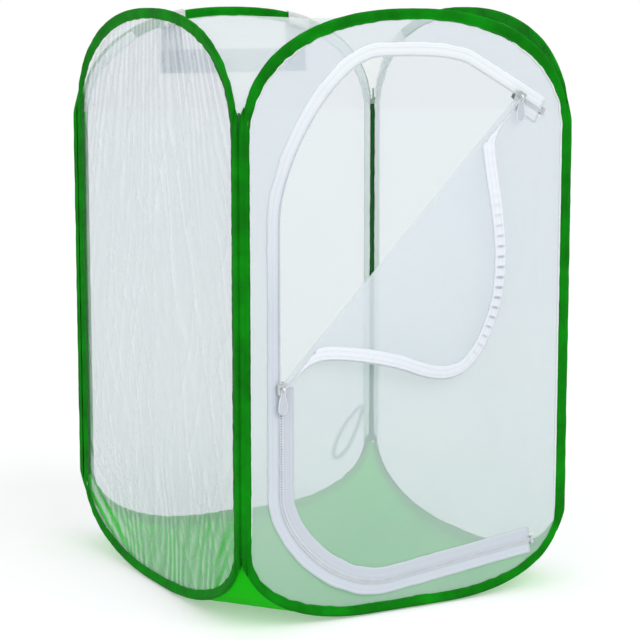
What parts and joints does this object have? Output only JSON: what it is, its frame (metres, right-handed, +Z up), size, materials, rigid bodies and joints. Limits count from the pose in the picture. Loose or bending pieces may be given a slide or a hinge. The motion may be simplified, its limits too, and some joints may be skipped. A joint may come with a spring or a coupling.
{
  "type": "insect cage",
  "caption": "Tall pop-up mesh cage for insects: four hooped panels that fold flat, a clear side window, a cloth floor and a zipped door with its corner folded open.",
  "frame": {"origin": "on the ground under the middle of the cage, halfway between its four corner fold axes, in the floor's underside", "axes": "+Z up; -Y is the front, with the zipped door; -X is the clear film side"},
  "size_m": [0.377, 0.4171, 0.59],
  "materials": {
    "binding": "green polyester binding with a woven grain and stitched edges",
    "wire": "drawn spring-steel wire",
    "ferrule": "crimped metal sleeve",
    "mesh": "fine white netting, partly see-through",
    "film": "clear flexible film, glossy, with soft upright gathers",
    "floor": "bright green woven cloth",
    "seam": "dark green sewn seam",
    "tape": "white woven zip tape",
    "coil": "white nylon zip coil",
    "slider": "white enamel on cast metal",
    "webbing": "white woven webbing and ribbon"
  },
  "bodies": {
    "front_panel": {"binding_front": "binding", "hoop_front": "wire", "ferrule_front": "ferrule", "front_mesh": "mesh", "door_mesh": "mesh", "floor_panel": "floor", "top_mesh": "mesh", "corner_seam_front_left": "seam", "corner_seam_front_right": "seam", "zip_tape_panel": "tape", "zip_tape_door": "tape", "zip_tape_door_top": "tape", "coil_panel": "coil", "coil_door": "coil", "coil_door_top": "coil", "zip_stop_lower": "slider", "zip_stop_upper": "slider"},
    "left_panel": {"binding_left": "binding", "hoop_left": "wire", "ferrule_left": "ferrule", "film_window": "film", "corner_seam_back_left": "seam"},
    "back_panel": {"binding_back": "binding", "hoop_back": "wire", "ferrule_back": "ferrule", "back_mesh": "mesh", "strap_band_left": "webbing", "strap_band_right": "webbing"},
    "right_panel": {"binding_right": "binding", "hoop_right": "wire", "ferrule_right": "ferrule", "right_mesh": "mesh", "corner_seam_back_right": "seam"},
    "side_slider": {"slider_side": "slider"},
    "side_pull": {"pull_side": "slider"},
    "top_slider": {"slider_top": "slider"},
    "top_pull": {"pull_top": "slider"},
    "door_corner": {"door_flap": "mesh", "zip_tape_flap": "tape", "coil_flap": "coil"},
    "carry_strap": {"carry_strap": "webbing"},
    "tie_ribbon": {"tie_ribbon": "webbing"}
  },
  "joints": [
    {"name": "fold_left", "type": "hinge", "parent": "front_panel", "child": "left_panel", "pos_m": [-0.1825, -0.195, 0], "axis": [0, 0, 1], "range_deg": [-80, 80], "deforming": ["floor_panel", "top_mesh"]},
    {"name": "fold_back", "type": "hinge", "parent": "left_panel", "child": "back_panel", "pos_m": [-0.1825, 0.195, 0], "axis": [0, 0, 1], "range_deg": [-80, 80]},
    {"name": "fold_right", "type": "hinge", "parent": "front_panel", "child": "right_panel", "pos_m": [0.1825, -0.195, 0], "axis": [0, 0, 1], "range_deg": [-80, 80]},
    {"name": "side_slider_slide", "type": "slide", "parent": "front_panel", "child": "side_slider", "axis": [0, 0, 1], "range_m": [-0.095, 0.15]},
    {"name": "side_pull_swing", "type": "hinge", "parent": "side_slider", "child": "side_pull", "pos_m": [-0.1425, -0.2059, 0.235], "axis": [-1, 0, 0], "range_deg": [0, 165]},
    {"name": "top_slider_slide", "type": "slide", "parent": "front_panel", "child": "top_slider", "axis": [-0.8751, 0, 0.4839], "range_m": [-0.022, 0.055]},
    {"name": "top_pull_swing", "type": "hinge", "parent": "top_slider", "child": "top_pull", "pos_m": [0.12115, -0.2059, 0.50357], "axis": [-1, 0, 0], "range_deg": [0, 165]},
    {"name": "door_corner_fold", "type": "hinge", "parent": "front_panel", "child": "door_corner", "pos_m": [-0.1425, -0.202, 0.235], "axis": [-0.7005, 0, -0.7136], "range_deg": [0, 170]},
    {"name": "carry_strap_lift", "type": "hinge", "parent": "back_panel", "child": "carry_strap", "pos_m": [0.007, 0.2031, 0.57367], "axis": [1, 0, 0], "range_deg": [0, 170]},
    {"name": "tie_ribbon_swing", "type": "hinge", "parent": "back_panel", "child": "tie_ribbon", "pos_m": [0.1725, 0.2018, 0.117], "axis": [1, 0, 0], "range_deg": [0, 90]}
  ],
  "couplings": [
    {"joint": "fold_back", "follows": "fold_left", "ratio": -1},
    {"joint": "fold_right", "follows": "fold_left", "ratio": 1}
  ]
}
